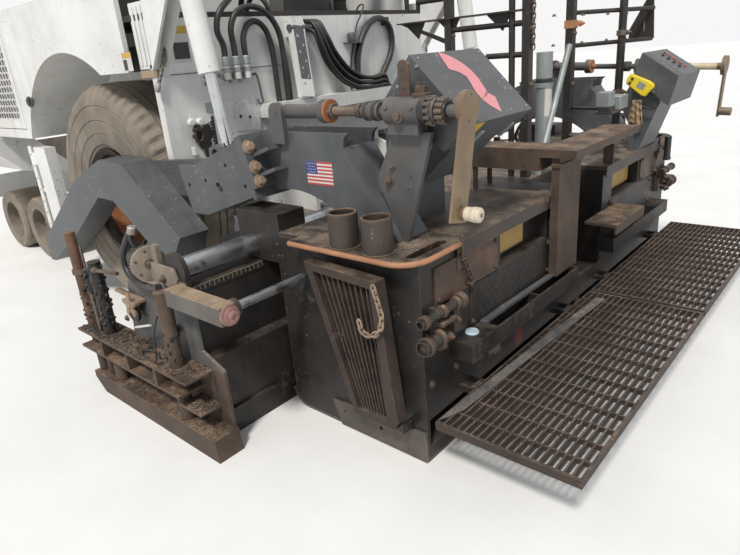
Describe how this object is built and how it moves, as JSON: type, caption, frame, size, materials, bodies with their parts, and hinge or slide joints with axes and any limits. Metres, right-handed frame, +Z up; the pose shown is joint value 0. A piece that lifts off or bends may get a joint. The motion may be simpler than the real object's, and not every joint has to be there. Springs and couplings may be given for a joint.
{
  "type": "asphalt paver",
  "caption": "Wheeled asphalt paver with a front hopper, conveyors, augers, arched tow arms and an extendable screed with walkways.",
  "frame": {"origin": "centre of the overall box, on the ground", "axes": "+X forward in the direction of travel, +Y to the left, +Z up"},
  "size_m": [7.37, 4.1806, 2.9199],
  "materials": {
    "white_paint": "worn gloss white with chips and rust",
    "black_paint": "worn satin black, tar and rust",
    "dark_grey_paint": "satin, greasy",
    "rim_paint": "rust and faded orange",
    "tyre_rubber": "dusty rubber",
    "worn_steel": "worn by asphalt",
    "rusty_steel": "rust and asphalt",
    "bright_steel": "polished",
    "seat_vinyl": "matt"
  },
  "bodies": {
    "tractor": {"chassis": "white_paint", "rear_bulkhead": "white_paint", "hopper_crossbeam": "white_paint", "push_beam": "white_paint", "auger_frame": "dark_grey_paint", "tow_slides": "white_paint", "engine_housing": "white_paint", "engine": "dark_grey_paint", "platform": "white_paint", "railings": "white_paint", "seats": "seat_vinyl", "consoles": "dark_grey_paint", "axles": "dark_grey_paint", "conveyors": "worn_steel"},
    "door_left": {"engine_door_left": "white_paint"},
    "door_right": {"engine_door_right": "white_paint"},
    "rear_wheel_left": {"rear_tyre_left": "tyre_rubber", "rear_rim_left": "rim_paint"},
    "rear_wheel_right": {"rear_tyre_right": "tyre_rubber", "rear_rim_right": "rim_paint"},
    "screed": {"tow_arms": "black_paint", "screed_brackets": "black_paint", "screed_frame": "black_paint", "screed_deck": "black_paint", "sole_plates": "worn_steel", "thickness_screws": "black_paint", "control_boxes": "black_paint", "rear_trays": "black_paint", "centre_frame": "black_paint", "centre_steps": "black_paint", "tool_posts": "black_paint"},
    "apron": {"hopper_apron": "worn_steel"},
    "steer_front_left": {"knuckle_front_left": "dark_grey_paint"},
    "front_wheel_front_left": {"wheel_front_left": "tyre_rubber"},
    "steer_front_right": {"knuckle_front_right": "dark_grey_paint"},
    "front_wheel_front_right": {"wheel_front_right": "tyre_rubber"},
    "steer_rear_left": {"knuckle_rear_left": "dark_grey_paint"},
    "front_wheel_rear_left": {"wheel_rear_left": "tyre_rubber"},
    "steer_rear_right": {"knuckle_rear_right": "dark_grey_paint"},
    "front_wheel_rear_right": {"wheel_rear_right": "tyre_rubber"},
    "wing_left": {"hopper_wing_left": "white_paint"},
    "wing_right": {"hopper_wing_right": "white_paint"},
    "push_roller_left": {"push_roller_left": "worn_steel"},
    "auger_left": {"auger_left": "worn_steel"},
    "push_roller_right": {"push_roller_right": "worn_steel"},
    "auger_right": {"auger_right": "worn_steel"},
    "lift_barrel_left": {"lift_barrel_left": "white_paint"},
    "lift_rod_left": {"lift_rod_left": "bright_steel"},
    "extension_left": {"extension_left": "black_paint", "guide_tube_left": "bright_steel", "end_gate_left": "black_paint"},
    "walkway_left": {"walkway_left": "rusty_steel"},
    "end_step_left": {"end_step_left": "rusty_steel"},
    "lift_barrel_right": {"lift_barrel_right": "white_paint"},
    "lift_rod_right": {"lift_rod_right": "bright_steel"},
    "extension_right": {"extension_right": "black_paint", "guide_tube_right": "bright_steel", "end_gate_right": "black_paint"},
    "walkway_right": {"walkway_right": "rusty_steel"},
    "end_step_right": {"end_step_right": "rusty_steel"}
  },
  "joints": [
    {"name": "rear_wheel_left_spin", "type": "hinge", "parent": "tractor", "child": "rear_wheel_left", "pos_m": [-0.165, 1.05, 0.8], "axis": [0, 1, 0], "continuous": true},
    {"name": "rear_wheel_right_spin", "type": "hinge", "parent": "tractor", "child": "rear_wheel_right", "pos_m": [-0.165, -1.05, 0.8], "axis": [0, 1, 0], "continuous": true},
    {"name": "steer_front_left", "type": "hinge", "parent": "tractor", "child": "steer_front_left", "pos_m": [2.585, 0.76, 0.415], "axis": [0, 0, 1], "range_deg": [-20, 20]},
    {"name": "spin_front_left", "type": "hinge", "parent": "steer_front_left", "child": "front_wheel_front_left", "pos_m": [2.585, 0.99, 0.3], "axis": [0, 1, 0], "continuous": true},
    {"name": "steer_front_right", "type": "hinge", "parent": "tractor", "child": "steer_front_right", "pos_m": [2.585, -0.76, 0.415], "axis": [0, 0, 1], "range_deg": [-20, 20]},
    {"name": "spin_front_right", "type": "hinge", "parent": "steer_front_right", "child": "front_wheel_front_right", "pos_m": [2.585, -0.99, 0.3], "axis": [0, 1, 0], "continuous": true},
    {"name": "steer_rear_left", "type": "hinge", "parent": "tractor", "child": "steer_rear_left", "pos_m": [1.885, 0.76, 0.415], "axis": [0, 0, 1], "range_deg": [-20, 20]},
    {"name": "spin_rear_left", "type": "hinge", "parent": "steer_rear_left", "child": "front_wheel_rear_left", "pos_m": [1.885, 0.99, 0.3], "axis": [0, 1, 0], "continuous": true},
    {"name": "steer_rear_right", "type": "hinge", "parent": "tractor", "child": "steer_rear_right", "pos_m": [1.885, -0.76, 0.415], "axis": [0, 0, 1], "range_deg": [-20, 20]},
    {"name": "spin_rear_right", "type": "hinge", "parent": "steer_rear_right", "child": "front_wheel_rear_right", "pos_m": [1.885, -0.99, 0.3], "axis": [0, 1, 0], "continuous": true},
    {"name": "door_left_hinge", "type": "hinge", "parent": "tractor", "child": "door_left", "pos_m": [1.701, 1.349, 1.65], "axis": [0, 0, -1], "range_deg": [0, 90]},
    {"name": "wing_left_fold", "type": "hinge", "parent": "tractor", "child": "wing_left", "pos_m": [2.535, 0.6, 0.75], "axis": [1, 0, 0], "range_deg": [0, 50]},
    {"name": "door_right_hinge", "type": "hinge", "parent": "tractor", "child": "door_right", "pos_m": [1.701, -1.349, 1.65], "axis": [0, 0, 1], "range_deg": [0, 90]},
    {"name": "wing_right_fold", "type": "hinge", "parent": "tractor", "child": "wing_right", "pos_m": [2.535, -0.6, 0.75], "axis": [-1, 0, 0], "range_deg": [0, 50]},
    {"name": "apron_fold", "type": "hinge", "parent": "tractor", "child": "apron", "pos_m": [3.36, 0, 0.715], "axis": [0, -1, 0], "range_deg": [0, 25]},
    {"name": "push_roller_left_spin", "type": "hinge", "parent": "tractor", "child": "push_roller_left", "pos_m": [3.605, 0.57, 0.5], "axis": [0, 1, 0], "continuous": true},
    {"name": "auger_left_spin", "type": "hinge", "parent": "tractor", "child": "auger_left", "pos_m": [-1.41, 0.65, 0.42], "axis": [0, 1, 0], "continuous": true},
    {"name": "push_roller_right_spin", "type": "hinge", "parent": "tractor", "child": "push_roller_right", "pos_m": [3.605, -0.57, 0.5], "axis": [0, 1, 0], "continuous": true},
    {"name": "auger_right_spin", "type": "hinge", "parent": "tractor", "child": "auger_right", "pos_m": [-1.41, -0.65, 0.42], "axis": [0, 1, 0], "continuous": true},
    {"name": "screed_lift", "type": "hinge", "parent": "tractor", "child": "screed", "pos_m": [0.885, 0, 0.395], "axis": [0, 1, 0], "range_deg": [0, 8]},
    {"name": "lift_barrel_left_pivot", "type": "hinge", "parent": "tractor", "child": "lift_barrel_left", "pos_m": [-1.455, 1.27, 2.11], "axis": [0, -1, 0], "range_deg": [0, 8.56]},
    {"name": "lift_rod_left_slide", "type": "slide", "parent": "lift_barrel_left", "child": "lift_rod_left", "axis": [0.1437, 0, 0.9896], "range_m": [0, 0.3528]},
    {"name": "extension_left_slide", "type": "slide", "parent": "screed", "child": "extension_left", "axis": [0, 1, 0], "range_m": [-0.4, 0.88]},
    {"name": "walkway_left_fold", "type": "hinge", "parent": "screed", "child": "walkway_left", "pos_m": [-3.07, 0.7, 0.245], "axis": [0, 1, 0], "range_deg": [0, 65]},
    {"name": "end_step_left_fold", "type": "hinge", "parent": "screed", "child": "end_step_left", "pos_m": [-2.815, 1.595, 0.185], "axis": [-1, 0, 0], "range_deg": [0, 90]},
    {"name": "lift_barrel_right_pivot", "type": "hinge", "parent": "tractor", "child": "lift_barrel_right", "pos_m": [-1.455, -1.27, 2.11], "axis": [0, -1, 0], "range_deg": [0, 8.56]},
    {"name": "lift_rod_right_slide", "type": "slide", "parent": "lift_barrel_right", "child": "lift_rod_right", "axis": [0.1437, 0, 0.9896], "range_m": [0, 0.3528]},
    {"name": "extension_right_slide", "type": "slide", "parent": "screed", "child": "extension_right", "axis": [0, -1, 0], "range_m": [-0.4, 0.88]},
    {"name": "walkway_right_fold", "type": "hinge", "parent": "screed", "child": "walkway_right", "pos_m": [-3.07, -0.7, 0.245], "axis": [0, 1, 0], "range_deg": [0, 65]},
    {"name": "end_step_right_fold", "type": "hinge", "parent": "screed", "child": "end_step_right", "pos_m": [-2.815, -1.595, 0.185], "axis": [1, 0, 0], "range_deg": [0, 90]}
  ],
  "couplings": [
    {"joint": "steer_front_right", "follows": "steer_front_left", "ratio": 1},
    {"joint": "steer_rear_left", "follows": "steer_front_left", "ratio": 1},
    {"joint": "steer_rear_right", "follows": "steer_front_left", "ratio": 1},
    {"joint": "lift_barrel_left_pivot", "follows": "screed_lift", "ratio": 1.0079},
    {"joint": "lift_rod_left_slide", "follows": "screed_lift", "m_per_rad": 2.4911},
    {"joint": "lift_barrel_right_pivot", "follows": "screed_lift", "ratio": 1.0079},
    {"joint": "lift_rod_right_slide", "follows": "screed_lift", "m_per_rad": 2.4911}
  ]
}
